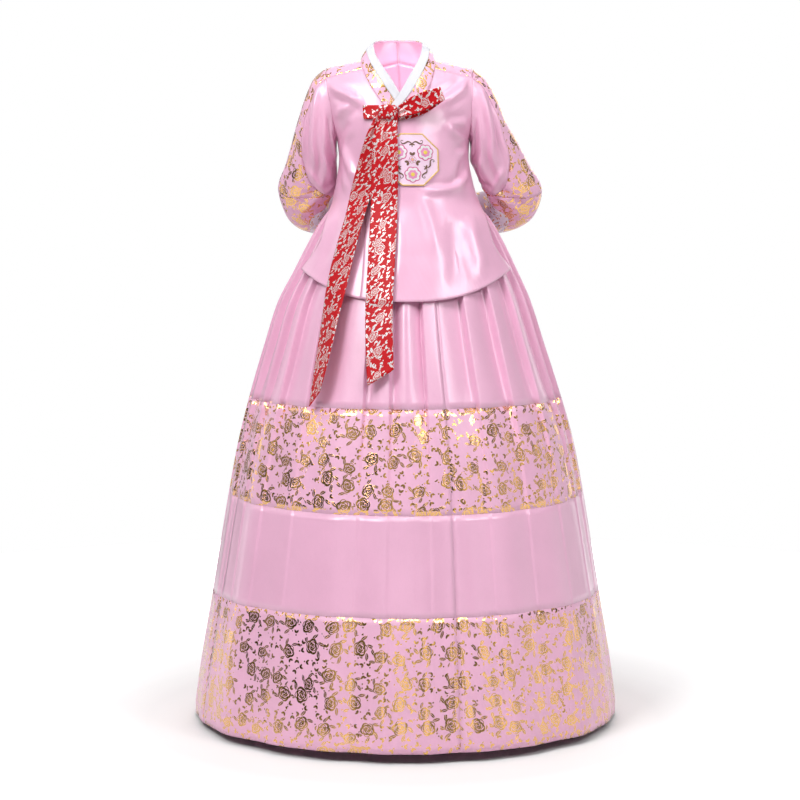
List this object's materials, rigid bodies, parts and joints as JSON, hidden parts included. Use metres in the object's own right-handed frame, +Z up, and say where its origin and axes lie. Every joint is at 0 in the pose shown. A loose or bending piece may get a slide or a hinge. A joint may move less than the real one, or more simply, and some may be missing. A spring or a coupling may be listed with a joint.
{
  "type": "korean hanbok",
  "caption": "Korean hanbok holding its worn form: a long curved jacket with side slits, wide foil sleeves, collar and tied ribbon over a high pleated skirt with foil bands.",
  "frame": {"origin": "the wearer mount, at the base of the neck on the shoulder line", "axes": "+Z up along the wearer, -Y is the front, +X is the wearer's left"},
  "size_m": [0.9106, 0.8734, 1.4349],
  "materials": {
    "pink_satin": "lustrous satin",
    "gold_foil_satin": "satin printed with gold foil",
    "white_foil_satin": "white satin printed with gold foil",
    "crisp_white": "crisp matt cloth",
    "red_ribbon": "printed satin ribbon",
    "badge": "silk embroidery"
  },
  "bodies": {
    "root": {"chest_badge": "badge", "collar_over": "gold_foil_satin", "collar_under": "gold_foil_satin", "cuff_left": "white_foil_satin", "cuff_right": "white_foil_satin", "jacket_back_left": "pink_satin", "jacket_back_right": "pink_satin", "jacket_front_over": "pink_satin", "jacket_front_under": "pink_satin", "ribbon_knot": "red_ribbon", "ribbon_loop": "red_ribbon", "ribbon_stub": "red_ribbon", "ribbon_tail_left": "red_ribbon", "ribbon_tail_right": "red_ribbon", "shoulder_strip_left": "gold_foil_satin", "shoulder_strip_right": "gold_foil_satin", "skirt_chest_band": "pink_satin", "skirt_foil_band_back_left": "gold_foil_satin", "skirt_foil_band_back_right": "gold_foil_satin", "skirt_foil_band_front_left": "gold_foil_satin", "skirt_foil_band_front_right": "gold_foil_satin", "skirt_hem_band_back_left": "gold_foil_satin", "skirt_hem_band_back_right": "gold_foil_satin", "skirt_hem_band_front_left": "gold_foil_satin", "skirt_hem_band_front_right": "gold_foil_satin", "skirt_plain_back_left": "pink_satin", "skirt_plain_back_right": "pink_satin", "skirt_plain_front_left": "pink_satin", "skirt_plain_front_right": "pink_satin", "skirt_pleated_back_left": "pink_satin", "skirt_pleated_back_right": "pink_satin", "skirt_pleated_front_left": "pink_satin", "skirt_pleated_front_right": "pink_satin", "sleeve_forearm_left": "gold_foil_satin", "sleeve_forearm_right": "gold_foil_satin", "sleeve_top_left": "gold_foil_satin", "sleeve_top_right": "gold_foil_satin", "sleeve_under_left": "pink_satin", "sleeve_under_right": "pink_satin", "white_strip_over": "crisp_white", "white_strip_under": "crisp_white"}
  },
  "joints": []
}
